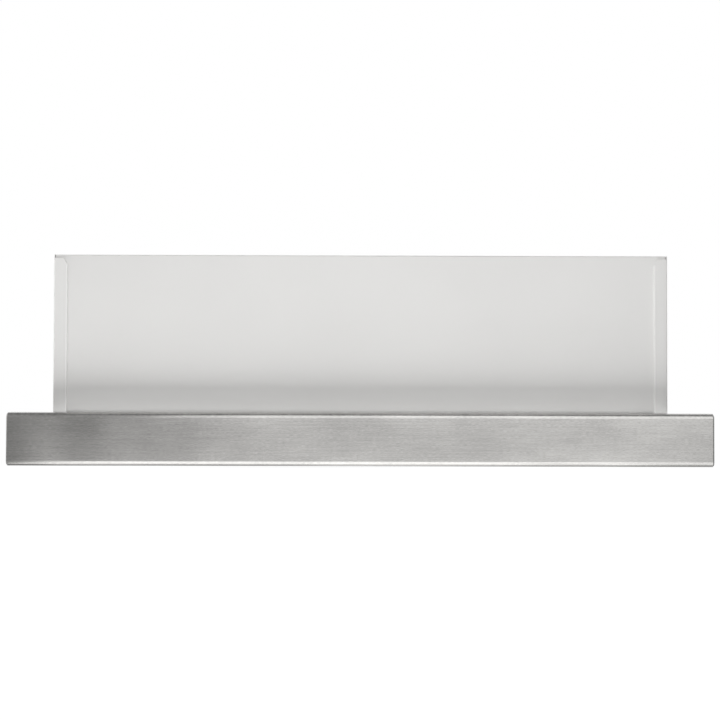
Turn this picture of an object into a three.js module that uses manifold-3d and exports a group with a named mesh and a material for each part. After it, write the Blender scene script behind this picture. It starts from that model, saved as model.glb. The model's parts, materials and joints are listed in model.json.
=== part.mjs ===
// A pull out range hood: casing, fan, duct outlet, sliding visor with its front panel, and filters.
// Millimetres. +X is to the right as seen from the front, +Y to the back, +Z up.
// The origin is under the middle of the closed hood, level with the panel's lower edge.
// Pieces that come in pairs are drawn on the right and mirrored to the left.
import * as THREE from "three";
import { mergeVertices } from "three/addons/utils/BufferGeometryUtils.js";
import Module from "manifold-3d";

const wasm = await Module();
wasm.setup();

// ---- Driving dimensions ----
const SHEET = 1;
const WALL = 1.2;
const GAP = 0.3;
const OVERLAP = 0.5;

const panel = { width: 598, height: 45, front: -150, back: -130, bend: 4.5 };
const casing = { width: 530, top: 181, bottom: 3, front: -125, back: 150, slot: 43, bend: 1.5, hem: 24 };
const flange = { front: 11, top: 12, below: 3, clipWide: 2.3, clipHigh: 4.7 };
const topPlate = { from: 178.7, to: 179.7 };
const visor = { plateHalf: 242, sideFace: 242, top: 41, back: 100, front: -129.7 };
const slide = { web: 254, bottom: 14, top: 41, front: -112, back: 125.5 };
const filter = { from: 4, to: 250, front: -106, back: 132, bottom: 4, top: 13, rim: 8 };
const latch = { x: 127, half: 13, tongueHalf: 7, front: -99.6, back: -88 };
const fan = { y: 3, z: 111, radius: 42, inner: 34, half: 56, blades: 28, inlet: 36 };
const scroll = { half: 60, start: 47, end: 72, tongue: 75, mouth: 161 };
const outlet = { y: 45, inside: 57.5, outside: 60, flange: 70, ledge: 53, rim: 191 };
const axle = { z: 184.4, radius: 1.5, bore: 1.9, knuckle: 3.4 };
const gland = { x: 160, y: 115, bore: 4.2, thread: 8 };
const button = { first: 218, pitch: 12, y: -139.5, radius: 3.6, hole: 4 };
const buttonNames = ["button_power", "button_lamp", "button_speed_1", "button_speed_2", "button_speed_3"];
const buttonPlaces = buttonNames.map((name, i) => [name, button.first + i * button.pitch]);
const lens = { from: 60, to: 200, front: -145, back: -134 };
const screw = { shank: 1.9, head: 3.9, shankHole: 2.95, headHole: 4.2 };
const screwPlaces = [[-215, -105], [215, -105], [-215, 143.5], [215, 143.5]];
const fixingHoles = [[-225, -60], [225, -60], [-225, 90], [225, 90]];
const sideHoles = [[-95, 160], [120, 160], [-95, 62], [120, 62]];
const keyholes = [-180, 180];

const half = casing.width / 2;
const sheetFront = casing.front + SHEET + GAP;

// ---- Finishes ----
const finish = {
  brushedSteel: { color: 0xb3b1ad, roughness: 0.35, metalness: 1 },
  satinSheet: { color: 0xd9d8d5, roughness: 0.55, metalness: 0.3 },
  zinc: { color: 0xb4b8bb, roughness: 0.4, metalness: 1 },
  aluminium: { color: 0xc4c7c9, roughness: 0.45, metalness: 1 },
  blackPlastic: { color: 0x1c1c1e, roughness: 0.5, metalness: 0 },
  greyPlastic: { color: 0x83868a, roughness: 0.5, metalness: 0 },
  whitePlastic: { color: 0xe6e6e2, roughness: 0.4, metalness: 0 },
  circuitBoard: { color: 0x2d5a37, roughness: 0.5, metalness: 0 },
};

// ---- Outlines: lists of [u, v] ----
const radians = THREE.MathUtils.degToRad;

// Points on an arc about (u, v), from one angle to another in degrees.
function arc(u, v, radius, from, to, steps) {
  return Array.from({ length: steps + 1 }, (_, i) => {
    const angle = radians(from + ((to - from) * i) / steps);
    return [u + radius * Math.cos(angle), v + radius * Math.sin(angle)];
  });
}

function circle(u, v, radius, sides = 24) {
  return arc(u, v, radius, 0, 360 - 360 / sides, sides - 1);
}

function rectangle([u0, u1], [v0, v1]) {
  return [[u0, v0], [u1, v0], [u1, v1], [u0, v1]];
}

// A path moved sideways by a distance, to its left where that is positive.
function offset(path, distance) {
  const normals = path.slice(1).map(([u, v], i) => {
    const [du, dv] = [u - path[i][0], v - path[i][1]];
    const length = Math.hypot(du, dv);
    return [-dv / length, du / length];
  });
  return path.map(([u, v], i) => {
    const before = normals[Math.max(i - 1, 0)];
    const after = normals[Math.min(i, normals.length - 1)];
    const scale = distance / (1 + before[0] * after[0] + before[1] * after[1]);
    return [u + scale * (before[0] + after[0]), v + scale * (before[1] + after[1])];
  });
}

// The closed outline of bent sheet: one face follows the path, the other lies a thickness beside it.
function bent(path, thickness) {
  return [...path, ...offset(path, thickness).reverse()];
}

function turned(points, u, v, angle) {
  const [c, s] = [Math.cos(radians(angle)), Math.sin(radians(angle))];
  return points.map(([a, b]) => [u + (a - u) * c - (b - v) * s, v + (a - u) * s + (b - v) * c]);
}

// ---- Solids ----
// Where an outline's own axes and the direction of extrusion point, for each axis of extrusion.
const BASIS = {
  x: [[0, 1, 0], [0, 0, 1], [1, 0, 0]],
  y: [[1, 0, 0], [0, 0, 1], [0, -1, 0]],
  z: [[1, 0, 0], [0, 1, 0], [0, 0, 1]],
};

// An outline carried along an axis: (y, z) along x, (x, z) along y, (x, y) along z.
function prism(outline, axis, [from, to], holes = []) {
  const vectors = (points) => points.map(([u, v]) => new THREE.Vector2(u, v));
  const shape = new THREE.Shape(vectors(outline));
  shape.holes = holes.map((hole) => new THREE.Path(vectors(hole)));
  const geometry = new THREE.ExtrudeGeometry(shape, { depth: to - from, bevelEnabled: false });
  const [u, v, w] = BASIS[axis].map((direction) => new THREE.Vector3(...direction));
  const matrix = new THREE.Matrix4().makeBasis(u, v, w);
  matrix.setPosition(w.clone().multiplyScalar(axis === "y" ? -to : from));
  return geometry.applyMatrix4(matrix);
}

function box([x0, x1], [y0, y1], [z0, z1]) {
  const geometry = new THREE.BoxGeometry(x1 - x0, y1 - y0, z1 - z0);
  return geometry.translate((x0 + x1) / 2, (y0 + y1) / 2, (z0 + z1) / 2);
}

// A profile of [radius, height] turned about a vertical axis through (x, y).
function lathe(profile, x, y, sides = 24) {
  const points = profile.map(([radius, height]) => new THREE.Vector2(radius, height));
  return new THREE.LatheGeometry(points, sides).rotateX(Math.PI / 2).translate(x, y, 0);
}

// A profile of [radius, x] turned about the fan's axis.
function latheAlongX(profile, sides) {
  return lathe(profile, 0, 0, sides).rotateY(Math.PI / 2).translate(0, fan.y, fan.z);
}

// Rings of as many points each, joined by bands into one closed skin.
function bands(rings) {
  const count = rings[0].length;
  const index = [];
  rings.forEach((_, r) => {
    const next = (r + 1) % rings.length;
    for (let i = 0; i < count; i++) {
      const j = (i + 1) % count;
      index.push(r * count + i, r * count + j, next * count + j);
      index.push(r * count + i, next * count + j, next * count + i);
    }
  });
  const geometry = new THREE.BufferGeometry();
  geometry.setAttribute("position", new THREE.Float32BufferAttribute(rings.flat(2), 3));
  return geometry.setIndex(index);
}

function solid(shape) {
  if (shape instanceof wasm.Manifold) return shape;
  const bare = new THREE.BufferGeometry();
  bare.setAttribute("position", shape.getAttribute("position"));
  bare.setIndex(shape.index);
  const merged = mergeVertices(bare, 1e-4);
  const vertProperties = merged.attributes.position.array;
  const triVerts = new Uint32Array(merged.index.array);
  return new wasm.Manifold(new wasm.Mesh({ numProp: 3, vertProperties, triVerts }));
}

function join(first, ...others) {
  return others.reduce((sum, other) => sum.add(solid(other)), solid(first));
}

function cut(first, ...tools) {
  return tools.reduce((rest, tool) => rest.subtract(solid(tool)), solid(first));
}

function common(first, second) {
  return solid(first).intersect(solid(second));
}

function geometryOf(body) {
  const { vertProperties, triVerts } = body.getMesh();
  const geometry = new THREE.BufferGeometry();
  geometry.setAttribute("position", new THREE.BufferAttribute(vertProperties, 3));
  geometry.setIndex(new THREE.BufferAttribute(triVerts, 1));
  geometry.computeVertexNormals();
  return geometry;
}

// ---- The scene graph ----
const hood = new THREE.Group();
const rightHalf = new THREE.Group();
const leftHalf = new THREE.Group();
leftHalf.scale.x = -1;
hood.add(rightHalf, leftHalf);

function piece(name, shape, look, parent = hood) {
  const geometry = shape instanceof wasm.Manifold ? geometryOf(shape) : shape;
  const mesh = new THREE.Mesh(geometry, new THREE.MeshStandardMaterial(finish[look]));
  mesh.name = name;
  parent.add(mesh);
}

function pair(name, shape, look) {
  piece(name + "_right", shape, look, rightHalf);
  piece(name + "_left", shape, look, leftHalf);
}

// ---- Casing ----
// Front sheet: a stiffening fold at the slot, the face, a small bend and a flange over the top plate.
function casingFront() {
  const r = casing.bend;
  const path = [
    [sheetFront + 11, casing.slot],
    ...arc(sheetFront + r, casing.slot + r, r, 270, 180, 3),
    ...arc(sheetFront + r, casing.top - r, r, 180, 90, 3),
    [sheetFront + casing.hem, casing.top],
  ];
  const sheet = prism(bent(path, -SHEET), "x", [-half + SHEET + GAP, half - SHEET - GAP]);
  return cut(sheet, ...screwHoles(screwPlaces.slice(0, 2)));
}

// Clearance for countersunk screws, down through the sheet on top and the top plate.
function screwHoles(places) {
  const { shankHole, headHole } = screw;
  const floor = casing.top - (headHole - shankHole);
  const profile = [[0, 170], [shankHole, 170], [shankHole, floor], [headHole, casing.top], [headHole, 190], [0, 190]];
  return places.map(([x, y]) => lathe(profile, x, y, 20));
}

function casingTop() {
  const depth = [sheetFront + SHEET + 0.9, casing.back - SHEET - GAP];
  const outline = rectangle([-half + SHEET + GAP, half - SHEET - GAP], depth);
  const holes = [
    circle(0, outlet.y, outlet.inside, 48),
    circle(gland.x, gland.y, gland.thread + 0.4),
    ...screwPlaces.map(([x, y]) => circle(x, y, screw.shankHole, 12)),
    ...fixingHoles.map(([x, y]) => circle(x, y, 3, 12)),
  ];
  return prism(outline, "z", [topPlate.from, topPlate.to], holes);
}

// Side pan: one web with a bent front flange, whose top inner corner is clipped, and flanges above and below.
function casingSide() {
  const r = casing.bend;
  const path = [
    [half - flange.front, casing.front],
    ...arc(half - r, casing.front + r, r, 270, 360, 3),
    [half, casing.back],
  ];
  const pan = prism(bent(path, SHEET), "z", [casing.bottom, casing.top]);
  const ends = [half - flange.top - SHEET, half - OVERLAP];
  const end = casing.back - SHEET - GAP;
  const topFlange = box(ends, [sheetFront + casing.hem + 0.7, end], [casing.top - SHEET, casing.top]);
  const footFlange = box(ends, [casing.front + 3, end], [casing.bottom, casing.bottom + SHEET]);
  const flangeEnd = casing.top - flange.below;
  const inner = half - flange.front;
  const clip = [
    [inner - 1, flangeEnd - flange.clipHigh],
    [inner, flangeEnd - flange.clipHigh],
    [inner + flange.clipWide, flangeEnd],
    [half - SHEET, flangeEnd],
    [half - SHEET, casing.top + 1],
    [inner - 1, casing.top + 1],
  ];
  const clipped = cut(join(pan, topFlange, footFlange), prism(clip, "y", [casing.front - 1, sheetFront + 1]));
  const holes = sideHoles.map(([y, z]) => prism(circle(y, z, 2.6, 16), "x", [half - 3, half + 1]));
  return cut(clipped, ...holes);
}

function casingBack() {
  const web = box(
    [-half + SHEET + GAP, half - SHEET - GAP],
    [casing.back - SHEET, casing.back],
    [casing.bottom, casing.top],
  );
  const reach = half - flange.top - SHEET - GAP;
  const topFlange = box([-reach, reach], [138, casing.back - OVERLAP], [casing.top - SHEET, casing.top]);
  const hangers = keyholes.flatMap((x) => {
    const eye = circle(x, 142, 5, 20);
    const slot = rectangle([x - 2.5, x + 2.5], [142, 155]);
    return [eye, slot, circle(x, 155, 2.5, 16)];
  });
  const openings = hangers.map((outline) => prism(outline, "y", [casing.back - 2, casing.back + 1]));
  return cut(join(web, topFlange), ...screwHoles(screwPlaces.slice(2)), ...openings);
}

const railHalf = half - flange.top - SHEET - GAP;

function frontRail() {
  const path = [[-108, casing.bottom], [sheetFront, casing.bottom], [sheetFront, 10]];
  return prism(bent(path, -SHEET), "x", [-railHalf, railHalf]);
}

function rearRail() {
  const path = [[134, casing.bottom], [148.7, casing.bottom], [148.7, 12]];
  return prism(bent(path, SHEET), "x", [-railHalf, railHalf]);
}

function centreBar() {
  return box([-2.5, 2.5], [-122.4, 147.4], [casing.bottom + SHEET + GAP, filter.top]);
}

function casingScrew(x, y) {
  const top = casing.top - 0.1;
  const { shank, head } = screw;
  const profile = [[0, 169], [1.4, 170.4], [shank, 172], [shank, top - (head - shank)], [head, top], [0, top]];
  const recess = [top - 0.7, top + 1];
  const cross = [
    box([x - 2.2, x + 2.2], [y - 0.4, y + 0.4], recess),
    box([x - 0.4, x + 0.4], [y - 2.2, y + 2.2], recess),
  ];
  return cut(lathe(profile, x, y, 20), ...cross);
}

// ---- Slides ----
// A channel's outline: its web stands at x = web, its flanges end at x = edge, with lips if it has any.
function channel(web, edge, [low, high], thickness, lip = 0) {
  const path = [[edge, low], [web, low], [web, high], [edge, high]];
  if (lip) {
    path.unshift([edge, low + lip]);
    path.push([edge, high - lip]);
  }
  return bent(path, edge > web ? -thickness : thickness);
}

function slideBracket() {
  return prism(channel(slide.web + GAP, half - SHEET - GAP, [12, 43], WALL), "y", [-110, 140]);
}

function slideOuter() {
  return prism(channel(slide.web, 243.5, [slide.bottom, slide.top], WALL, 2.2), "y", [slide.front, slide.back]);
}

function runner() {
  return prism(channel(251.9, 245.5, [16.7, 38.3], SHEET), "y", [-115, 115]);
}

function slideInner() {
  return prism(channel(visor.sideFace + GAP, 249.9, [20, 35], SHEET), "y", [-127, 95]);
}

// ---- Fan ----
// The scroll's inner face: down the mouth's front wall to the tongue, round the spiral, and up its rear wall.
function scrollPath() {
  const spiral = Array.from({ length: 20 }, (_, i) => {
    const angle = scroll.tongue + ((360 - scroll.tongue) * i) / 19;
    const radius = scroll.start + ((scroll.end - scroll.start) * i) / 19;
    return [fan.y + radius * Math.cos(radians(angle)), fan.z + radius * Math.sin(radians(angle))];
  });
  return [[spiral[0][0], scroll.mouth], ...spiral, [fan.y + scroll.end, scroll.mouth]];
}

function scrollWall() {
  return prism(bent(scrollPath(), -WALL), "x", [-scroll.half, scroll.half]);
}

function scrollSide() {
  const outline = offset(scrollPath(), -3.5);
  const hole = circle(fan.y, fan.z, fan.inlet, 36);
  return prism(outline, "x", [scroll.half + GAP, scroll.half + GAP + WALL], [hole]);
}

// The throat spreads from the scroll's rectangular mouth to the round outlet.
function outletThroat() {
  const front = scrollPath()[0][0];
  const deep = (fan.y + scroll.end - front) / 2;
  const middle = front + deep;
  const corner = Math.atan2(deep, scroll.half);
  const spans = [[-corner, corner, 8], [corner, Math.PI - corner, 16]];
  spans.push([Math.PI - corner, Math.PI + corner, 8], [Math.PI + corner, 2 * Math.PI - corner, 16]);
  const angles = spans.flatMap(([from, to, steps]) =>
    Array.from({ length: steps }, (_, i) => from + ((to - from) * i) / steps),
  );
  const mouthRing = (grow, z) =>
    angles.map((angle) => {
      const [c, s] = [Math.cos(angle), Math.sin(angle)];
      const reach = Math.min(scroll.half / Math.abs(c), deep / Math.abs(s));
      return [reach * c + Math.sign(c) * grow, middle + reach * s + Math.sign(s) * grow, z];
    });
  const roundRing = (radius, z) =>
    angles.map((angle) => [radius * Math.cos(angle), outlet.y + radius * Math.sin(angle), z]);
  const [low, high] = [scroll.mouth + GAP, topPlate.from - GAP];
  return bands([
    mouthRing(WALL, low),
    roundRing(outlet.inside, high),
    roundRing(outlet.inside - WALL, high),
    mouthRing(0, low),
  ]);
}

function impeller() {
  const { half: reach, radius, inner } = fan;
  const hub = [
    [3.3, -6], [9, -6], [9, -0.8], [radius + 0.2, -0.8], [radius + 0.2, 0.8],
    [9, 0.8], [9, 6], [3.3, 6], [3.3, -6],
  ];
  const ring = (from) => {
    const section = rectangle([inner - 1, radius + 1], [from, from + WALL]);
    return latheAlongX([...section, section[0]], 32);
  };
  const bladeFace = arc(fan.y + inner + 3, fan.z - 5.5, 6, 150, 50, 2);
  const blade = bent(bladeFace, 0.8);
  const blades = Array.from({ length: fan.blades }, (_, i) =>
    prism(turned(blade, fan.y, fan.z, (360 * i) / fan.blades), "x", [-reach + OVERLAP, reach - OVERLAP]),
  );
  return join(latheAlongX(hub, 32), ring(-reach), ring(reach - WALL), ...blades);
}

function fanShaft() {
  return prism(circle(fan.y, fan.z, 3, 16), "x", [-101, 8]);
}

// The motor reaches into the left half of the impeller; its flange lies on the bracket.
function motor() {
  const profile = [
    [3.6, -98], [14, -98], [14, -92], [25, -92], [27, -90], [27, -66], [30, -66], [30, -64.1],
    [27, -64.1], [27, -20], [22, -14], [8, -14], [8, -9], [3.6, -9], [3.6, -98],
  ];
  return latheAlongX(profile, 24);
}

function motorBracket() {
  const span = [-63.8, -61.8];
  const arm = rectangle([fan.y + 28, fan.y + 45], [fan.z - 5, fan.z + 5]);
  const arms = [90, 210, 330].map((angle) => prism(turned(arm, fan.y, fan.z, angle), "x", span));
  const ring = prism(circle(fan.y, fan.z, 33, 32), "x", span);
  return cut(join(ring, ...arms), prism(circle(fan.y, fan.z, 27.4, 32), "x", [-70, -60]));
}

function capacitor() {
  const roof = topPlate.from - GAP;
  const profile = [[0, 126], [13.5, 126], [15, 127.5], [15, 171], [14, 172], [4, 172], [4, roof], [0, roof]];
  return lathe(profile, -gland.x, gland.y);
}

// ---- Mains inlet ----
function junctionBox() {
  const hollow = box([122, 198], [90, 140], [131, 176.4]);
  const hole = prism(circle(gland.x, gland.y, gland.thread + 0.4), "z", [170, 182]);
  return cut(box([120, 200], [88, 142], [132, topPlate.from - GAP]), hollow, hole);
}

function junctionLid() {
  return join(box([120, 200], [88, 142], [129, 131.7]), box([122.4, 197.6], [90.4, 139.6], [131, 134]));
}

function cableGland() {
  const { x, y, bore, thread } = gland;
  const dome = [
    [bore, 166], [thread, 166], [thread, 181], [11, 181], [10.4, 187], [8.6, 190], [bore, 190], [bore, 166],
  ];
  const hexagon = prism(circle(x, y, 12.5, 6), "z", [topPlate.to + GAP, 185]);
  return cut(join(lathe(dome, x, y), hexagon), prism(circle(x, y, bore), "z", [160, 195]));
}

function microswitch() {
  const body = box([207, 222], [104, 124], [24, 34]);
  const leaf = [[102, 33], [104.5, 26], [104.5, 24.4], [101, 32.4], [101, 35], [102, 35]];
  const lever = prism(leaf, "x", [211, 217]);
  const bracket = box([221.5, 223], [106, 148.6], [22, 36]);
  return join(body, lever, bracket);
}

// ---- Duct outlet ----
function outletCollar() {
  const base = topPlate.to + GAP;
  const { ledge, flange: brim, outside, inside, rim } = outlet;
  const profile = [
    [ledge, base], [brim, base], [brim, base + WALL], [outside, base + WALL], [outside, rim - 1],
    [outside - 0.7, rim], [inside, rim], [inside, base + WALL], [ledge, base + WALL], [ledge, base],
  ];
  const bore = prism(circle(outlet.y, axle.z, axle.bore, 12), "x", [-outlet.outside - 2, outlet.outside + 2]);
  return cut(lathe(profile, 0, outlet.y, 48), bore);
}

function flapAxle() {
  return prism(circle(outlet.y, axle.z, axle.radius, 12), "x", [-59, 59]);
}

// One half disc, with two knuckles on the axle beside those of the other flap.
function flap(front) {
  const from = front ? 181 : 1;
  const disc = prism(arc(0, outlet.y, outlet.inside - 1, from, from + 178, 24), "z", [181.6, 182.6]);
  const edge = front ? [outlet.y - 60, outlet.y - 0.8] : [outlet.y + 0.8, outlet.y + 60];
  const plate = common(disc, box([-60, 60], edge, [181, 183]));
  const spans = front ? [[-45, -31], [15, 29]] : [[-29, -15], [31, 45]];
  const others = front ? [[-29, -15], [31, 45]] : [[-45, -31], [15, 29]];
  const knuckles = spans.map((span) => prism(circle(outlet.y, axle.z, axle.knuckle, 16), "x", span));
  const room = others.map(([a, b]) => prism(circle(outlet.y, axle.z, 4.1, 16), "x", [a - 0.7, b + 0.7]));
  const bore = prism(circle(outlet.y, axle.z, axle.bore, 12), "x", [-60, 60]);
  return cut(join(cut(plate, ...room), ...knuckles), bore);
}

// ---- Visor ----
// Front panel: a folded pan, open to the back, with holes in its lower return for buttons and lamps.
function frontPanel() {
  const { width, height, front, back, bend } = panel;
  const face = [
    [back, 0],
    ...arc(front + bend, bend, bend, 270, 180, 8),
    ...arc(front + bend, height - bend, bend, 180, 90, 8),
    [back, height],
  ];
  const reach = width / 2;
  const fold = prism(bent(face, -SHEET), "x", [-reach + OVERLAP, reach - OVERLAP]);
  const ends = [[-reach, -reach + SHEET], [reach - SHEET, reach]].map((span) => prism(face, "x", span));
  const holes = buttonPlaces.map(([, x]) => prism(circle(x, button.y, button.hole), "z", [-1, 2]));
  const slots = [-1, 1].map((side) => {
    const ends = [side * lens.from, side * lens.to].sort((a, b) => a - b);
    return box(ends, [lens.front, lens.back], [-1, 2]);
  });
  return cut(join(fold, ...ends), ...holes, ...slots);
}

function backPlate() {
  const reach = panel.width / 2 - SHEET - GAP;
  return box([-reach, reach], [panel.back - SHEET, panel.back], [SHEET + GAP, panel.height - SHEET - GAP]);
}

function visorPlate() {
  const r = casing.bend;
  const path = [
    [visor.front, 25],
    ...arc(visor.front + r, visor.top - r, r, 180, 90, 3),
    [visor.back, visor.top],
  ];
  return prism(bent(path, -SHEET), "x", [-visor.plateHalf, visor.plateHalf]);
}

function visorSide() {
  const top = visor.top - SHEET - GAP;
  const path = [[visor.sideFace, slide.bottom], [visor.sideFace, top], [visor.sideFace - 13, top]];
  return prism(bent(path, WALL), "y", [-128.4, 98.4]);
}

function visorRearRail() {
  const top = visor.top - SHEET - GAP;
  const path = [[visor.back, 28], [visor.back, top], [visor.back - 14, top]];
  return prism(bent(path, WALL), "x", [-228, 228]);
}

function ledLens() {
  const window = box([lens.from + 0.4, lens.to - 0.4], [lens.front + 0.4, lens.back - 0.4], [0.3, 2]);
  return join(window, box([lens.from - 2, lens.to + 2], [-146, -132.8], [SHEET + GAP, 4]));
}

function ledBoard() {
  return box([lens.from, lens.to], [lens.front, lens.back], [4.4, 6]);
}

function controlHousing() {
  const hollow = box([208.2, 275.8], [-145.3, -133.7], [1, 13.8]);
  return cut(box([207, 277], [-146.5, -132.5], [SHEET + GAP, 15]), hollow);
}

function controlBoard() {
  return box([208.6, 275.4], [-144.9, -134.1], [11, 12.6]);
}

function pushButton(x) {
  const cap = button.radius;
  const profile = [
    [0, 0.4], [cap - 0.4, 0.4], [cap, 0.8], [cap, 1.4],
    [cap + 1, 1.4], [cap + 1, 2.6], [2.4, 2.6], [2.4, 8], [0, 8],
  ];
  return lathe(profile, x, button.y, 16);
}

// ---- Grease filters ----
const pocket = { half: 27, front: -100, back: -70, roof: 11.5 };

// A rim with a groove for the mesh, two tabs at the back, and a pocket for the latch at the front.
function filterFrame() {
  const { from, to, front, back, bottom, top, rim } = filter;
  const inset = (by) => [[from + by, to - by], [front + by, back - by]];
  const through = box(...inset(rim + 2), [bottom - 1, top + 1]);
  const groove = box(...inset(rim), [bottom + WALL, top - WALL]);
  const tabs = [60, 194].map((x) => box([x - 8, x + 8], [back - 1, back + 5], [5, 8]));
  const [left, right] = [latch.x - pocket.half, latch.x + pocket.half];
  const pocketBlock = box([left, right], [front + 1, pocket.back + 2], [bottom, top]);
  const pocketRoom = box([left + 2, right - 2], [pocket.front, pocket.back], [bottom - 1, pocket.roof]);
  const tongueSlot = box([latch.x - 8, latch.x + 8], [front - 1, pocket.front + 1], [5, 8]);
  const rimmed = cut(box(...inset(0), [bottom, top]), through, groove);
  return cut(join(rimmed, ...tabs, pocketBlock), pocketRoom, tongueSlot);
}

// The mesh pack: one pleated sheet, cut out round the latch's pocket.
function filterMesh() {
  const { from, to, front, back, rim } = filter;
  const pleats = 50;
  const thickness = 0.8;
  const [left, right] = [from + rim + thickness, to - rim - thickness];
  const path = Array.from({ length: pleats + 1 }, (_, i) => [
    left + ((right - left) * i) / pleats,
    i % 2 ? 10.1 : 5.6,
  ]);
  const sheet = prism(bent(path, thickness), "y", [front + rim + GAP, back - rim - GAP]);
  const clear = [latch.x - pocket.half - GAP, latch.x + pocket.half + GAP];
  return cut(sheet, box(clear, [front, pocket.back + 2 + GAP], [0, 20]));
}

function filterLatch() {
  const { x, half: wide, tongueHalf, front, back } = latch;
  const grip = box([x - wide, x + wide], [front, back], [4.6, 9]);
  const tongue = box([x - tongueHalf, x + tongueHalf], [-107.6, front + 1], [5.3, 7.7]);
  const ribs = [-97, -94, -91].map((y) => box([x - 10, x + 10], [y, y + 1.2], [4.2, 5]));
  return join(grip, tongue, ...ribs);
}

// ---- Assembly ----
piece("casing_front", casingFront(), "satinSheet");
piece("casing_top", casingTop(), "satinSheet");
pair("casing", casingSide(), "satinSheet");
piece("casing_back", casingBack(), "satinSheet");
piece("bottom_front_rail", frontRail(), "satinSheet");
piece("bottom_rear_rail", rearRail(), "satinSheet");
piece("filter_centre_bar", centreBar(), "satinSheet");
screwPlaces.forEach(([x, y], i) => piece(`casing_screw_${i + 1}`, casingScrew(x, y), "zinc"));

pair("slide_bracket", slideBracket(), "zinc");
pair("slide_outer", slideOuter(), "zinc");
pair("runner", runner(), "zinc");
pair("slide_inner", slideInner(), "zinc");

piece("scroll_wall", scrollWall(), "whitePlastic");
pair("scroll_side", scrollSide(), "whitePlastic");
piece("outlet_throat", outletThroat(), "blackPlastic");
piece("impeller", impeller(), "blackPlastic");
piece("fan_shaft", fanShaft(), "zinc");
piece("motor", motor(), "zinc");
piece("motor_bracket", motorBracket(), "zinc");
piece("capacitor", capacitor(), "whitePlastic");

piece("junction_box", junctionBox(), "blackPlastic");
piece("junction_lid", junctionLid(), "blackPlastic");
piece("cable_gland", cableGland(), "greyPlastic");
piece("microswitch", microswitch(), "blackPlastic");

piece("outlet_collar", outletCollar(), "blackPlastic");
piece("flap_axle", flapAxle(), "zinc");
piece("flap_front", flap(true), "blackPlastic");
piece("flap_rear", flap(false), "blackPlastic");

piece("front_panel", frontPanel(), "brushedSteel");
piece("panel_back_plate", backPlate(), "zinc");
piece("visor_plate", visorPlate(), "satinSheet");
pair("visor_side", visorSide(), "satinSheet");
piece("visor_rear_rail", visorRearRail(), "satinSheet");
pair("led_lens", ledLens(), "whitePlastic");
pair("led_board", ledBoard(), "aluminium");
piece("control_housing", controlHousing(), "blackPlastic");
piece("control_board", controlBoard(), "circuitBoard");
buttonPlaces.forEach(([name, x]) => piece(name, pushButton(x), "blackPlastic"));

pair("filter_frame", filterFrame(), "aluminium");
pair("filter_mesh", filterMesh(), "aluminium");
pair("filter_latch", filterLatch(), "greyPlastic");

export default hood;
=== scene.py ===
"""Looks of a pull out range hood: brushed steel front panel, satin sheet casing, fan, filters and controls.

Metres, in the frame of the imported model: +X to the right, +Y to the back, +Z up.
"""

import json
import math

import bmesh
import bpy
import numpy as np
from mathutils import Matrix, Vector


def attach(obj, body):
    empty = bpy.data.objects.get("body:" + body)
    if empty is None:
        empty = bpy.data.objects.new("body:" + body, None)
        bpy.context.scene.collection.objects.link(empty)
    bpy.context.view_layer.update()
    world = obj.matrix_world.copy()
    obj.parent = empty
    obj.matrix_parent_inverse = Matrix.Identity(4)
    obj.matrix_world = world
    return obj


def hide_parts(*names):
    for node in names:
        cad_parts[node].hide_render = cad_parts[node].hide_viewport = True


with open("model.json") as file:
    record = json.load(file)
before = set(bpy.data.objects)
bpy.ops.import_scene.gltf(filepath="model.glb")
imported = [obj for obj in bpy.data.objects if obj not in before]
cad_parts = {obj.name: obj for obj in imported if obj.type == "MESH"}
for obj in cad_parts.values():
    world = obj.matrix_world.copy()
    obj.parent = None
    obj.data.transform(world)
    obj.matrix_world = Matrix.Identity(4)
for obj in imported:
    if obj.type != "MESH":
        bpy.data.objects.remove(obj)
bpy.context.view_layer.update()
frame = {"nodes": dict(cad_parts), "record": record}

MM = 0.001
scene = bpy.context.scene
nodes = frame["nodes"]
bodies = frame["record"]["behaviour"]["bodies"]
body_of_node = {name: body for body, group in bodies.items() for name in group}
slot_of_node = {row["node"]: row["material_slot"] for row in frame["record"]["subparts"]}


# ---- Camera: straight on, a little above the panel; its turns are in degrees ----
CAMERA_PLACE = (-5.5 * MM, -1308 * MM, 64 * MM)
CAMERA_PITCH = 1.279
CAMERA_YAW = -0.24
CAMERA_ROLL = 0.15
FOCAL_PIXELS = 1372.2
FRAME_PIXELS = 720
SENSOR = 36.0


def make_camera():
    """A level camera that looks to the back, rolled about its view, tipped up, then turned by its yaw."""
    data = bpy.data.cameras.new("camera")
    data.sensor_width = SENSOR
    data.lens = FOCAL_PIXELS / FRAME_PIXELS * SENSOR
    camera = bpy.data.objects.new("camera", data)
    scene.collection.objects.link(camera)
    turn = (
        Matrix.Rotation(math.radians(CAMERA_YAW), 4, "Z")
        @ Matrix.Rotation(math.radians(90 + CAMERA_PITCH), 4, "X")
        @ Matrix.Rotation(math.radians(CAMERA_ROLL), 4, "Z")
    )
    camera.matrix_world = Matrix.Translation(CAMERA_PLACE) @ turn
    scene.camera = camera


# ---- Materials ----
def material(name, color, roughness, metallic=0.0, **sockets):
    """A Principled material, with its constants on the shader's own sockets."""
    made = bpy.data.materials.new(name)
    made.use_nodes = True
    shader = made.node_tree.nodes["Principled BSDF"]
    shader.inputs["Base Color"].default_value = (*color, 1)
    shader.inputs["Roughness"].default_value = roughness
    shader.inputs["Metallic"].default_value = metallic
    for socket, value in sockets.items():
        shader.inputs[socket.replace("_", " ")].default_value = value
    return made


def node(tree, kind, settings=None, **inputs):
    """A shader node with its settings, and values on its inputs."""
    made = tree.nodes.new(kind)
    for key, value in (settings or {}).items():
        setattr(made, key, value)
    for key, value in inputs.items():
        made.inputs[key.replace("_", " ")].default_value = value
    return made


GRAIN_MAP = "grain"


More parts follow.
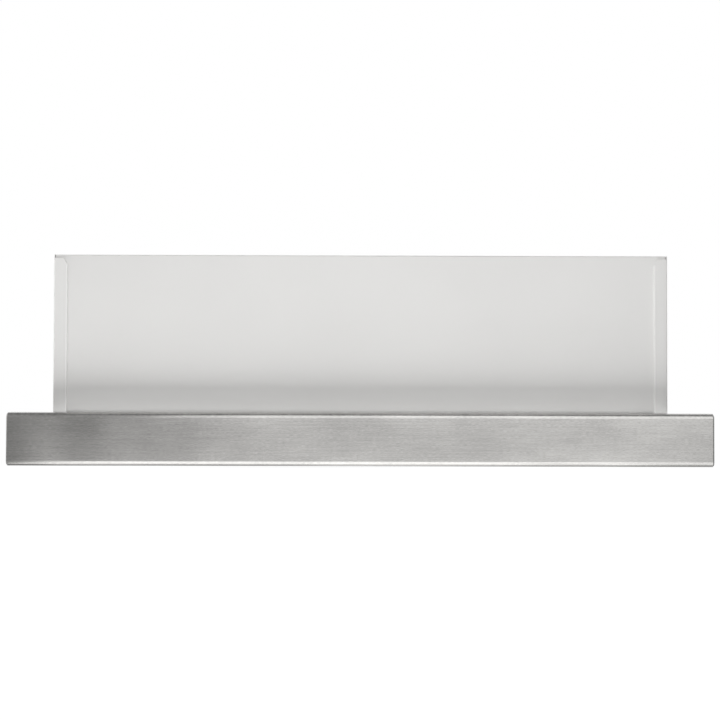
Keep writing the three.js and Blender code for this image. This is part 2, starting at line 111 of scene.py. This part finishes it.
def noise(tree, stretch, detail=2.0, roughness=0.5, brushed=False):
    """Noise of so many cells a metre along each axis, on Object coordinates or, brushed, on the grain map."""
    if brushed:
        place = node(tree, "ShaderNodeUVMap", {"uv_map": GRAIN_MAP}).outputs["UV"]
    else:
        place = node(tree, "ShaderNodeTexCoord").outputs["Object"]
    mapping = node(tree, "ShaderNodeMapping", Scale=stretch)
    texture = node(tree, "ShaderNodeTexNoise", Scale=1.0, Detail=detail, Roughness=roughness)
    tree.links.new(place, mapping.inputs["Vector"])
    tree.links.new(mapping.outputs["Vector"], texture.inputs["Vector"])
    return texture.outputs["Fac"]


def ramp(tree, value, stops):
    """A colour ramp through (position, colour) stops."""
    made = node(tree, "ShaderNodeValToRGB")
    elements = made.color_ramp.elements
    while len(elements) < len(stops):
        elements.new(0.5)
    for element, (position, color) in zip(elements, stops):
        element.position = position
        element.color = (*color, 1)
    tree.links.new(value, made.inputs["Fac"])
    return made.outputs["Color"]


# The Mix node's sockets by number: its factor, its two numbers and its two colours.
FACTOR = 0
NUMBERS = (2, 3)
COLORS = (6, 7)
MIXED_NUMBER = 0
MIXED_COLOR = 2


def mixed(tree, value, first, second):
    """Colour mix of two values or links by a factor, a number or a link."""
    made = node(tree, "ShaderNodeMix", {"data_type": "RGBA"})
    for socket, item in zip((FACTOR, *COLORS), (value, first, second)):
        if isinstance(item, bpy.types.NodeSocket):
            tree.links.new(item, made.inputs[socket])
        else:
            made.inputs[socket].default_value = item
    return made.outputs[MIXED_COLOR]


def varied(made, value, low, high, spread):
    """The base colour goes from low to high times its value as noise goes over its spread about 0.5."""
    tree = made.node_tree
    shader = tree.nodes["Principled BSDF"]
    color = np.array(shader.inputs["Base Color"].default_value[:3])
    stops = [(0.5 - spread, tuple(color * low)), (0.5 + spread, tuple(np.minimum(color * high, 1)))]
    tree.links.new(ramp(tree, value, stops), shader.inputs["Base Color"])


NOISE_LOW = 0.3
NOISE_HIGH = 0.7


def roughened(made, value, low, high):
    """The roughness goes from low to high with a noise."""
    tree = made.node_tree
    span = node(tree, "ShaderNodeMapRange", From_Min=NOISE_LOW, From_Max=NOISE_HIGH, To_Min=low, To_Max=high)
    tree.links.new(value, span.inputs["Value"])
    tree.links.new(span.outputs["Result"], tree.nodes["Principled BSDF"].inputs["Roughness"])


def bumped(made, value, strength, distance):
    """A noise raises the surface by a distance."""
    tree = made.node_tree
    bump = node(tree, "ShaderNodeBump", Strength=strength, Distance=distance)
    tree.links.new(value, bump.inputs["Height"])
    tree.links.new(bump.outputs["Normal"], tree.nodes["Principled BSDF"].inputs["Normal"])


def brushed_steel():
    """Stainless steel brushed along its grain map: streaks over faint clouds, and hairlines as bump."""
    steel = (0.515, 0.508, 0.495)
    made = material("brushed_panel", steel, 0.15, 1.0, Anisotropic=1.0, Anisotropic_Rotation=0.25)
    tree = made.node_tree
    long_streaks = noise(tree, (26, 700, 1), 3.0, 0.6, brushed=True)
    short_streaks = noise(tree, (300, 2400, 1), 1.0, 0.5, brushed=True)
    clouds = noise(tree, (16, 30, 1), 3.0, 0.55, brushed=True)
    hairlines = noise(tree, (110, 2600, 1), 2.0, 0.5, brushed=True)
    streaks = mixed(tree, 0.62, long_streaks, short_streaks)
    varied(made, mixed(tree, 0.35, streaks, clouds), 0.78, 1.22, 0.17)
    bumped(made, hairlines, 0.04, 0.1 * MM)
    tangent = node(tree, "ShaderNodeTangent", {"direction_type": "UV_MAP", "uv_map": GRAIN_MAP})
    tree.links.new(tangent.outputs["Tangent"], tree.nodes["Principled BSDF"].inputs["Tangent"])
    return made


COAT_TONE = (0.80, 0.795, 0.782)
COAT_ROUGHNESS = 0.4
COAT_GLOSS = 0.3


def satin_casing():
    """Light grey satin coat on sheet: almost even, with faint clouds and a very fine orange peel."""
    made = material("satin_casing", COAT_TONE, COAT_ROUGHNESS, 0.08, Coat_Weight=COAT_GLOSS)
    tree = made.node_tree
    varied(made, noise(tree, (9, 9, 9), 2.0), 0.985, 1.015, 0.2)
    bumped(made, noise(tree, (1400, 1400, 1400), 1.0), 0.04, 0.05 * MM)
    return made


# Painted highlight: the coat is paler along each flange's cut edge, where the edge catches light, and paler
# on the left than on the right.
CUT_AT = {"left": 253.55 * MM, "right": 254.1 * MM}
CUT_HALF_WIDTH = 0.5 * MM
PAINTED_HIGHLIGHT_TONES = {"left": (0.97, 0.965, 0.955, 1), "right": (0.9, 0.895, 0.885, 1)}


def painted_edge_highlight(side):
    """The coat's own tone with a painted highlight: paler within a half width of where the sheet was cut."""
    made = material("edge_painted_highlight_" + side, COAT_TONE, COAT_ROUGHNESS, 0.0, Coat_Weight=COAT_GLOSS)
    tree = made.node_tree
    place = node(tree, "ShaderNodeTexCoord")
    split = node(tree, "ShaderNodeSeparateXYZ")
    distance = node(tree, "ShaderNodeMath", {"operation": "ABSOLUTE"})
    painted_band = node(tree, "ShaderNodeMath", {"operation": "COMPARE"})
    painted_band.inputs[1].default_value = CUT_AT[side]
    painted_band.inputs[2].default_value = CUT_HALF_WIDTH
    tree.links.new(place.outputs["Object"], split.inputs[0])
    tree.links.new(split.outputs["X"], distance.inputs[0])
    tree.links.new(distance.outputs[0], painted_band.inputs[0])
    # Painted highlight: the paler tone within the band along the cut.
    tone = mixed(tree, painted_band.outputs[0], (*COAT_TONE, 1), PAINTED_HIGHLIGHT_TONES[side])
    tree.links.new(tone, tree.nodes["Principled BSDF"].inputs["Base Color"])
    return made


def zinc_steel():
    """Zinc plated steel with a fine spangle in its tone and gloss."""
    made = material("zinc_steel", (0.60, 0.61, 0.62), 0.38, 1.0)
    tree = made.node_tree
    spangle = noise(tree, (140, 140, 140), 3.0, 0.7)
    varied(made, spangle, 0.92, 1.06, 0.2)
    roughened(made, spangle, 0.3, 0.46)
    return made


def aluminium():
    """Rolled aluminium, a little cloudy and uneven."""
    made = material("aluminium", (0.72, 0.725, 0.73), 0.36, 1.0)
    tree = made.node_tree
    cloud = noise(tree, (220, 220, 220), 3.0, 0.6)
    varied(made, cloud, 0.92, 1.06, 0.2)
    roughened(made, cloud, 0.3, 0.44)
    bumped(made, cloud, 0.06, 0.2 * MM)
    return made


def moulded_plastic(name, color, roughness, grain):
    """Moulded plastic with a fine eroded grain."""
    made = material(name, color, roughness)
    tree = made.node_tree
    texture = noise(tree, (grain, grain, grain), 2.0)
    varied(made, texture, 0.9, 1.1, 0.2)
    roughened(made, texture, roughness - 0.05, roughness + 0.07)
    bumped(made, texture, 0.12, 0.1 * MM)
    return made


def opal_lens():
    """Milky plastic with fine ribs across its length."""
    made = material("lens_plastic", (0.88, 0.885, 0.88), 0.32, Coat_Weight=0.25, Subsurface_Weight=0.15)
    tree = made.node_tree
    ribs = noise(tree, (700, 30, 30), 1.0)
    bumped(made, ribs, 0.15, 0.2 * MM)
    varied(made, ribs, 0.97, 1.02, 0.2)
    return made


def circuit_board():
    """Green solder mask over paler copper runs."""
    made = material("circuit_board", (0.03, 0.16, 0.07), 0.35, Coat_Weight=0.3)
    tree = made.node_tree
    runs = noise(tree, (400, 90, 90), 0.0)
    varied(made, runs, 0.8, 1.9, 0.04)
    return made


def make_materials():
    """The finishes by name: one for each material slot, and one with a painted highlight for each flange's
    cut edge.
    """
    return {
        "brushed_panel": brushed_steel(),
        "satin_casing": satin_casing(),
        "edge_painted_highlight_left": painted_edge_highlight("left"),
        "edge_painted_highlight_right": painted_edge_highlight("right"),
        "zinc_steel": zinc_steel(),
        "aluminium": aluminium(),
        "black_plastic": moulded_plastic("black_plastic", (0.022, 0.022, 0.024), 0.42, 900),
        "grey_plastic": moulded_plastic("grey_plastic", (0.25, 0.255, 0.265), 0.4, 900),
        "scroll_plastic": moulded_plastic("scroll_plastic", (0.62, 0.62, 0.6), 0.45, 500),
        "lens_plastic": opal_lens(),
        "circuit_board": circuit_board(),
    }


# ---- Surfaces of the CAD nodes ----
SHARP = math.radians(32)
FLAT = math.radians(0.3)
MERGE = 2e-6
EDGE = 0.22 * MM
FINE_EDGE = 0.1 * MM
FLAP_EDGE = 0.08 * MM
NO_EDGE = 0.0
EDGE_OF_NODE = {
    "control_board": FINE_EDGE,
    "cable_gland": FINE_EDGE,
    "impeller": FINE_EDGE,
    "outlet_throat": FINE_EDGE,
    "flap_front": FLAP_EDGE,
    "flap_rear": FLAP_EDGE,
    "filter_mesh_left": NO_EDGE,
    "filter_mesh_right": NO_EDGE,
}
FLAT_TO_THE_BEND = ("casing_left", "casing_right")
# The outside of the panel's ends lies past PANEL_END and in front of PANEL_BACK.
PANEL_END_EDGE = 1.6 * MM
PANEL_END = 298.9 * MM
PANEL_BACK = -131.0 * MM
LOOKS_DOWN = -0.999
LOOKS_ALONG_X = 0.7


def grain_map(mesh):
    """A UV map in metres whose u runs along X, and on faces that look along X, along Y."""
    corner = np.zeros(len(mesh.loops), np.int32)
    mesh.loops.foreach_get("vertex_index", corner)
    place = np.zeros(len(mesh.vertices) * 3, np.float32)
    mesh.vertices.foreach_get("co", place)
    place = place.reshape(-1, 3)[corner]
    normals = np.zeros(len(mesh.polygons) * 3, np.float32)
    mesh.polygons.foreach_get("normal", normals)
    totals = np.zeros(len(mesh.polygons), np.int32)
    mesh.polygons.foreach_get("loop_total", totals)
    ends = np.repeat(np.abs(normals.reshape(-1, 3)[:, 0]) > LOOKS_ALONG_X, totals)
    u = np.where(ends, place[:, 1], place[:, 0])
    v = np.where(ends, place[:, 2], place[:, 2] - place[:, 1])
    layer = mesh.uv_layers.new(name=GRAIN_MAP)
    layer.data.foreach_set("uv", np.column_stack([u, v]).astype(np.float32).ravel())


def join_flat_faces(shape, pierced):
    """Joins faces that lie in one plane, but for the holed ones that look down on a pierced piece."""
    below = {face for face in shape.faces if pierced and face.normal.z < LOOKS_DOWN}
    edges = [edge for edge in shape.edges if not below.issuperset(edge.link_faces)]
    verts = [corner for corner in shape.verts if not below.issuperset(corner.link_faces)]
    bmesh.ops.dissolve_limit(shape, angle_limit=FLAT, verts=verts, edges=edges)


def panel_edge_weights(shape):
    """Bevel weights of the panel: whole round the outside of its ends, small on its other sharp edges."""
    weight = shape.edges.layers.float.new("bevel_weight_edge")
    for edge in shape.edges:
        if not edge.is_manifold or edge.calc_face_angle() < SHARP:
            continue
        places = [corner.co for corner in edge.verts]
        outside = all(abs(place.x) > PANEL_END and place.y < PANEL_BACK for place in places)
        edge[weight] = 1.0 if outside else EDGE / PANEL_END_EDGE


def round_edges(piece, name):
    """Rounds a piece's sharp edges, and those of the panel by their weights."""
    edge = EDGE_OF_NODE.get(name, EDGE)
    if edge == NO_EDGE:
        return
    bevel = piece.modifiers.new("edges", "BEVEL")
    bevel.width = edge
    bevel.segments = 2
    bevel.limit_method = "ANGLE"
    bevel.angle_limit = SHARP
    bevel.harden_normals = True
    bevel.use_clamp_overlap = False
    if name == "front_panel":
        bevel.width = PANEL_END_EDGE
        bevel.segments = 3
        bevel.limit_method = "WEIGHT"
        bevel.loop_slide = False


def finished(name, materials):
    """A node's surface with its corners merged, flat faces joined, bends smooth and edges rounded."""
    shape = bmesh.new()
    shape.from_mesh(nodes[name].data)
    bmesh.ops.remove_doubles(shape, verts=shape.verts, dist=MERGE)
    shape.normal_update()
    join_flat_faces(shape, name == "front_panel")
    if name == "front_panel":
        panel_edge_weights(shape)
    mesh = bpy.data.meshes.new(name + "_surface")
    shape.to_mesh(mesh)
    shape.free()
    mesh.shade_smooth()
    mesh.set_sharp_from_angle(angle=SHARP)
    piece = bpy.data.objects.new(name + "_surface", mesh)
    scene.collection.objects.link(piece)
    round_edges(piece, name)
    if name in FLAT_TO_THE_BEND:
        piece.modifiers.new("flat_faces", "WEIGHTED_NORMAL").keep_sharp = True
    slot = slot_of_node[name]
    if slot == "brushed_panel":
        grain_map(mesh)
    mesh.materials.append(materials[slot])
    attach(piece, body_of_node[name])
    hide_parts(name)


# ---- Cut edges of the side flanges ----
def prism(outline, heights):
    """An outline of (x, y) points at two heights, with walls between them and a flat face at each end."""
    count = len(outline)
    places = np.column_stack([np.tile(outline, (2, 1)), np.repeat(heights, count)])
    around = np.arange(count)
    after = np.roll(around, -1)
    walls = np.column_stack([around, after, after + count, around + count])
    return places, [*walls.tolist(), around[::-1].tolist(), (around + count).tolist()]


CUT_OUTLINE = [
    (254.5, -125.03), (254.2, -125.06), (253.7, -125.05), (253.45, -124.95), (253.32, -124.7),
    (253.28, -123.72), (253.99, -123.72), (253.99, -124.9), (254.5, -125.0),
]
CUT_HEIGHTS = (3.0, 173.0)
CUT_SHARP = math.radians(60)


def cut_edge(side, materials):
    """The burr of a side flange, bright by its material's painted highlight: a rounded fillet from the
    flange's face to the front sheet.

    It is the outline in (x, y) millimetres, a quarter round with a flat back, drawn along Z between
    the two heights, with x turned over on the left side.
    """
    across = 1 if side == "right" else -1
    places, faces = prism(np.array(CUT_OUTLINE) * (across, 1), CUT_HEIGHTS)
    if side == "right":
        faces = [face[::-1] for face in faces]
    mesh = bpy.data.meshes.new("flange_edge_" + side)
    mesh.from_pydata((places * MM).tolist(), [], faces)
    mesh.shade_smooth()
    mesh.set_sharp_from_angle(angle=CUT_SHARP)
    mesh.materials.append(materials["edge_painted_highlight_" + side])
    edge = bpy.data.objects.new("flange_edge_" + side, mesh)
    scene.collection.objects.link(edge)
    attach(edge, "casing")


# ---- Expanded metal over the filter packs ----
CELL_LONG = 8 * MM
CELL_SHORT = 5 * MM
STRAND_WIDE = 0.9 * MM
STRAND_THICK = 0.28 * MM
NET_HEIGHTS = (5.24 * MM, 11.28 * MM)
NET_SPAN_X = (12.4 * MM, 241.6 * MM)
NET_SPAN_Y = (-97.6 * MM, 123.6 * MM)
BORDER = 2.9 * MM
BORDER_PROUD = 0.015 * MM
# A strand's corners, in half widths across and thicknesses up.
STRAND_SECTION = [(-1, 0), (1, 0), (1, 1), (-1, 1)]
POCKET_X = (99.4 * MM, 154.6 * MM)
POCKET_BACK = -67.2 * MM


def strands(x_span, y_span, z):
    """Zigzag strands along X, each a pitch P behind the last and out of step with it, so that peaks meet.

    Strand k runs at y = (k + 1/2) P + (-1)^k (P/2) t(x), where t goes from 1 to -1 and back in a cell
    length. The places are a grid of strands, corners of their section and steps along X.
    """
    steps = max(2, round((x_span[1] - x_span[0]) / (CELL_LONG / 2)))
    x = np.linspace(x_span[0], x_span[1], steps + 1)
    room = y_span[1] - y_span[0] - STRAND_WIDE
    count = round(room / (CELL_SHORT / 2)) - 1
    pitch = room / (count + 1)
    wave = np.where(np.arange(steps + 1) % 2, -1.0, 1.0) * pitch / 2
    k = np.arange(count + 1)[:, None, None]
    middle = y_span[0] + STRAND_WIDE / 2 + (k + 0.5) * pitch + np.where(k % 2, -1, 1) * wave
    across, up = np.array(STRAND_SECTION).T[:, :, None]
    grid = np.broadcast_arrays(x, middle + across * STRAND_WIDE / 2, z + up * STRAND_THICK)
    places = np.stack(grid, axis=-1).reshape(-1, 3)
    corner = np.arange(len(places)).reshape(grid[0].shape)
    after = np.roll(corner, -1, axis=1)
    walls = [corner[..., :-1], after[..., :-1], after[..., 1:], corner[..., 1:]]
    ends = [corner[:, ::-1, 0], corner[:, :, -1]]
    return places, np.concatenate([np.stack(walls, axis=-1).reshape(-1, 4), *ends])


def band(x_span, y_span, z):
    """A flat band of the net's border, a little thicker than a strand on either side."""
    (x0, x1), (y0, y1) = x_span, y_span
    corners = [(x0, y0), (x1, y0), (x1, y1), (x0, y1)]
    places, faces = prism(corners, (z - BORDER_PROUD, z + STRAND_THICK + BORDER_PROUD))
    return places, np.array(faces)


def net_spans():
    """The strands' rectangles and the border's bands, as spans of x and y round the latch's pocket."""
    (left, right), (front, back) = NET_SPAN_X, NET_SPAN_Y
    (near, far), deep = POCKET_X, POCKET_BACK
    woven = [((left, right), (deep, back)), ((left, near), (front, deep)), ((far, right), (front, deep))]
    bands = [((left, left + BORDER), (front, back)), ((right - BORDER, right), (front, back))]
    for start, end in ((left + BORDER, near), (far, right - BORDER)):
        bands.append(((start, end), (front, front + BORDER)))
    for start, end in ((near - BORDER, near), (far, far + BORDER)):
        bands.append(((start, end), (front + BORDER, deep)))
    bands.append(((near - BORDER, far + BORDER), (deep, deep + BORDER)))
    bands.append(((left + BORDER, right - BORDER), (back - BORDER, back)))
    return woven, bands


def filter_net(side, materials):
    """Two bordered sheets of expanded metal in a filter's rim, round the latch's pocket."""
    places, faces = [], []
    count = 0
    woven, bands = net_spans()
    for z in NET_HEIGHTS:
        for part, quads in [strands(*spans, z) for spans in woven] + [band(*spans, z) for spans in bands]:
            places.append(part)
            faces.append(quads + count)
            count += len(part)
    places = np.concatenate(places)
    faces = np.concatenate(faces)
    if side == "left":
        places[:, 0] *= -1
        faces = faces[:, ::-1]
    mesh = bpy.data.meshes.new("filter_net_" + side)
    mesh.from_pydata(places.tolist(), [], faces.tolist())
    mesh.materials.append(materials["aluminium"])
    net = bpy.data.objects.new("filter_net_" + side, mesh)
    scene.collection.objects.link(net)
    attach(net, side + "_filter")


# ---- Studio ----
WORLD_FILL = 0.12
FLOOR_HEIGHT = -0.65
FLOOR_HALF = 12.0
FLOOR_TONE = (0.45, 0.45, 0.45)
FLOOR_SHADE = (0.36, 0.36, 0.36, 1)
GLOW_NEAR = 0.74
GLOW_FAR = 0.97
GLOW_FROM = 0.8
GLOW_TO = 2.6


def lit_background():
    """White to the camera, to reflections and through glass; a plain fill for the rest."""
    world = bpy.data.worlds.new("studio")
    world.use_nodes = True
    tree = world.node_tree
    background = tree.nodes["Background"]
    path = node(tree, "ShaderNodeLightPath")
    seen = node(tree, "ShaderNodeMath", {"operation": "MAXIMUM"})
    seen_through = node(tree, "ShaderNodeMath", {"operation": "MAXIMUM"})
    strength = node(tree, "ShaderNodeMapRange", To_Min=WORLD_FILL, To_Max=1.0)
    tree.links.new(path.outputs["Is Camera Ray"], seen.inputs[0])
    tree.links.new(path.outputs["Is Glossy Ray"], seen.inputs[1])
    tree.links.new(seen.outputs[0], seen_through.inputs[0])
    tree.links.new(path.outputs["Is Transmission Ray"], seen_through.inputs[1])
    tree.links.new(seen_through.outputs[0], strength.inputs["Value"])
    tree.links.new(strength.outputs["Result"], background.inputs["Strength"])
    background.inputs["Color"].default_value = (1, 1, 1, 1)
    scene.world = world


def plane(name, corners):
    """A four-cornered piece of the stage."""
    mesh = bpy.data.meshes.new(name)
    mesh.from_pydata(corners, [], [(0, 1, 2, 3)])
    made = bpy.data.objects.new(name, mesh)
    scene.collection.objects.link(made)
    return made


def level(x_span, y_span, z):
    """The corners of a level rectangle that faces up."""
    (x0, x1), (y0, y1) = x_span, y_span
    return [(x0, y0, z), (x1, y0, z), (x1, y1, z), (x0, y1, z)]


def make_floor():
    """A pale floor: near white to the camera, darker in shadow, and clear to one who looks up at it.

    Its glow grows from near to far with the distance from the middle.
    """
    span = (-FLOOR_HALF, FLOOR_HALF)
    floor = plane("floor", level(span, span, FLOOR_HEIGHT))
    made = material("floor", FLOOR_TONE, 0.8)
    tree = made.node_tree
    path = node(tree, "ShaderNodeLightPath")
    side = node(tree, "ShaderNodeNewGeometry")
    glow = node(tree, "ShaderNodeEmission")
    place = node(tree, "ShaderNodeTexCoord")
    distance = node(tree, "ShaderNodeVectorMath", {"operation": "LENGTH"})
    spread = node(tree, "ShaderNodeMapRange", From_Min=GLOW_FROM, From_Max=GLOW_TO)
    spread.inputs["To Min"].default_value = GLOW_NEAR
    spread.inputs["To Max"].default_value = GLOW_FAR
    tree.links.new(place.outputs["Object"], distance.inputs[0])
    tree.links.new(distance.outputs["Value"], spread.inputs["Value"])
    tree.links.new(spread.outputs["Result"], glow.inputs["Strength"])
    shade = node(tree, "ShaderNodeBsdfDiffuse", Color=FLOOR_SHADE)
    clear = node(tree, "ShaderNodeBsdfTransparent")
    both = node(tree, "ShaderNodeAddShader")
    choice = node(tree, "ShaderNodeMixShader")
    from_below = node(tree, "ShaderNodeMixShader")
    tree.links.new(glow.outputs[0], both.inputs[0])
    tree.links.new(shade.outputs[0], both.inputs[1])
    tree.links.new(path.outputs["Is Camera Ray"], choice.inputs[0])
    tree.links.new(tree.nodes["Principled BSDF"].outputs[0], choice.inputs[1])
    tree.links.new(both.outputs[0], choice.inputs[2])
    tree.links.new(side.outputs["Backfacing"], from_below.inputs[0])
    tree.links.new(choice.outputs[0], from_below.inputs[1])
    tree.links.new(clear.outputs[0], from_below.inputs[2])
    tree.links.new(from_below.outputs[0], tree.nodes["Material Output"].inputs[0])
    floor.data.materials.append(made)


def lamp(name, place, aim, size, brightness):
    """A soft rectangle of light, unseen itself, as bright as so many times white."""
    data = bpy.data.lights.new(name, "AREA")
    data.shape = "RECTANGLE"
    data.size, data.size_y = size
    data.energy = brightness * math.pi * size[0] * size[1]
    made = bpy.data.objects.new(name, data)
    scene.collection.objects.link(made)
    made.location = place
    made.rotation_mode = "QUATERNION"
    made.rotation_quaternion = (Vector(aim) - Vector(place)).to_track_quat("-Z", "Y")
    made.visible_camera = False
    made.visible_glossy = False


HOOD_MIDDLE = (0, 0, 0.1)
SIDE_MIDDLE = (0, 0.25, 0.1)
TABLE_LAMP = (-0.6, -0.57, -0.6)
BOUNCE_LAMP = (0, -0.1326, 0.0452)
HAIR = 0.0001


def over(place):
    """A point above a place and a hair behind it, so that a lamp aimed there keeps its length along X."""
    return (place[0], place[1] + HAIR, 1)


def make_lamps():
    """Soft lamps all round, one as wide as a table below the front, and the glow off the panel's top."""
    lamp("overhead", (-0.65, -1.25, 1.1), HOOD_MIDDLE, (2.4, 1.2), 1.4)
    lamp("table", TABLE_LAMP, over(TABLE_LAMP), (2.4, 0.58), 3.3)
    lamp("panel_bounce", BOUNCE_LAMP, over(BOUNCE_LAMP), (0.53, 0.0148), 0.64)
    lamp("top", (-0.2, -0.35, 1.55), HOOD_MIDDLE, (2.0, 1.1), 1.5)
    lamp("left", (-1.6, 0.25, 0.4), SIDE_MIDDLE, (1.0, 1.2), 2.2)
    lamp("right", (1.6, 0.25, 0.4), SIDE_MIDDLE, (1.0, 1.2), 2.2)
    lamp("rear", (0, 1.7, 0.6), HOOD_MIDDLE, (2.2, 1.1), 1.6)


def mirror_card(name, corners, paint):
    """A glowing card that only reflections see; paint makes its tone from the place on it."""
    card = plane(name, corners)
    made = bpy.data.materials.new(name)
    made.use_nodes = True
    tree = made.node_tree
    tree.nodes.clear()
    glow = node(tree, "ShaderNodeEmission", Strength=1.0)
    output = node(tree, "ShaderNodeOutputMaterial")
    place = node(tree, "ShaderNodeTexCoord")
    split = node(tree, "ShaderNodeSeparateXYZ")
    tree.links.new(place.outputs["Object"], split.inputs[0])
    tree.links.new(paint(tree, split.outputs), glow.inputs["Strength"])
    tree.links.new(glow.outputs[0], output.inputs[0])
    card.data.materials.append(made)
    card.visible_camera = False
    card.visible_diffuse = False
    card.visible_transmission = False
    card.visible_shadow = False


def curve(tree, value, points):
    """A number from a number through (input, output) points, straight between them."""
    lowest, highest = points[0][0], points[-1][0]
    scale = max(output for _, output in points)
    span = node(tree, "ShaderNodeMapRange", From_Min=lowest, From_Max=highest)
    tree.links.new(value, span.inputs["Value"])
    stops = [((place - lowest) / (highest - lowest), (output / scale,) * 3) for place, output in points]
    tones = ramp(tree, span.outputs["Result"], stops)
    strength = node(tree, "ShaderNodeMath", {"operation": "MULTIPLY"})
    strength.inputs[1].default_value = scale
    tree.links.new(tones, strength.inputs[0])
    return strength.outputs[0]


def blend(tree, value, low, high, first, second):
    """First where the value is under low, second where it is over high."""
    span = node(tree, "ShaderNodeMapRange", From_Min=low, From_Max=high)
    tree.links.new(value, span.inputs["Value"])
    mix = node(tree, "ShaderNodeMix", {"data_type": "FLOAT"})
    tree.links.new(span.outputs["Result"], mix.inputs[FACTOR])
    for socket, item in zip(NUMBERS, (first, second)):
        tree.links.new(item, mix.inputs[socket])
    return mix.outputs[MIXED_NUMBER]


# Brightness of what the steel mirrors along X in metres: level with it, above it, far and near on the
# table below it, under it and on the ceiling.
LEVEL_TONES = [
    (-0.6, 0.3), (-0.57, 0.36), (-0.54, 0.52), (-0.515, 0.5), (-0.49, 0.34), (-0.45, 0.37),
    (-0.42, 0.5), (-0.29, 0.53), (-0.25, 0.68), (-0.17, 0.76), (0.25, 0.785), (0.4, 0.87),
    (0.49, 0.88), (0.62, 0.81), (0.7, 0.25),
]
HIGH_TONES = [
    (-0.62, 0.4), (-0.5, 0.49), (-0.43, 0.56), (-0.355, 0.95), (-0.27, 1.2), (-0.18, 1.42), (0.2, 1.5),
    (0.37, 1.62), (0.5, 1.5), (0.6, 1.35), (0.95, 1.3), (1.05, 0.3),
]
TABLE_TONES = [(-0.9, 0.9), (-0.62, 0.3), (-0.53, 2.0), (0.62, 2.0), (0.9, 0.9)]
NEAR_TABLE_TONES = [
    (-0.9, 0.9), (-0.51, 0.3), (-0.44, 2.0), (0.2, 2.0), (0.317, 1.4), (0.362, 1.8),
    (0.39, 1.75), (0.443, 1.25), (0.49, 1.5), (0.62, 1.5), (0.9, 0.9),
]
UNDER_TONES = [
    (-0.46, 0.35), (-0.42, 0.52), (-0.39, 0.85), (-0.33, 0.83), (-0.23, 0.75), (-0.14, 0.77),
    (-0.01, 1.07), (0.05, 1.06), (0.12, 1.0), (0.21, 0.87), (0.28, 0.76), (0.34, 0.84),
    (0.4, 0.6), (0.43, 0.6),
]
CEILING_TONES = [(-1, 0.3), (1, 0.35)]
# Brightness of what the right end mirrors, along Y in metres.
RIGHT_TONES = [(-1.3, 0.4), (0.6, 0.4), (1.0, 0.8)]
# Heights between which the table's tones pass into the level ones, and those into the high ones.
TABLE_BLEND = (-0.42, -0.28)
HIGH_BLEND = (0.2, 0.3)
# Places of the mirrored cards; the wall in front stands just behind the camera.
WALL_Y = CAMERA_PLACE[1] - 0.02
WALL_FOOT = FLOOR_HEIGHT + 0.01
CARD_HALF = 2.2
CEILING = 2.4
CEILING_BACK = 1.5
UNDER_HALF = 0.9
UNDER_FRONT = -0.33
UNDER_BACK = 0.9
RIGHT_X = 1.05
RIGHT_BACK = 1.0
RIGHT_TOP = 0.5


def along(axis, tones):
    """Paint whose tone follows one axis."""
    return lambda tree, place: curve(tree, place[axis], tones)


def front_tones(tree, place):
    """Paint of the wall in front: the table's tones at its foot, level ones over them, then high ones."""
    middle = curve(tree, place["X"], LEVEL_TONES)
    high = curve(tree, place["X"], HIGH_TONES)
    table = curve(tree, place["X"], TABLE_TONES)
    lower = blend(tree, place["Z"], *TABLE_BLEND, table, middle)
    return blend(tree, place["Z"], *HIGH_BLEND, lower, high)


def upright(foot, foot_end, top):
    """The corners of an upright rectangle over the line between two points of its foot."""
    return [foot, foot_end, (*foot_end[:2], top), (*foot[:2], top)]


def make_mirror_cards():
    """The room that the steel mirrors: a wall in front, table, ground, ceiling and right wall."""
    across = (-CARD_HALF, CARD_HALF)
    under = level((-UNDER_HALF, UNDER_HALF), (UNDER_FRONT, UNDER_BACK), WALL_FOOT)
    wall = upright((-CARD_HALF, WALL_Y, WALL_FOOT), (CARD_HALF, WALL_Y, WALL_FOOT), CEILING)
    right = upright((RIGHT_X, WALL_Y, WALL_FOOT), (RIGHT_X, RIGHT_BACK, WALL_FOOT), RIGHT_TOP)
    mirror_card("mirror_wall", wall, front_tones)
    mirror_card("mirror_table", level(across, (WALL_Y, UNDER_FRONT), WALL_FOOT), along("X", NEAR_TABLE_TONES))
    mirror_card("mirror_under", under, along("X", UNDER_TONES))
    mirror_card("mirror_ceiling", level(across, (WALL_Y, CEILING_BACK), CEILING), along("X", CEILING_TONES))
    mirror_card("mirror_right", right, along("Y", RIGHT_TONES))


# ---- Making ----
make_camera()
lit_background()
make_floor()
make_lamps()
make_mirror_cards()
materials = make_materials()
for name in sorted(nodes):
    finished(name, materials)
for side in ("left", "right"):
    filter_net(side, materials)
    cut_edge(side, materials)

scene.view_settings.view_transform = "Standard"
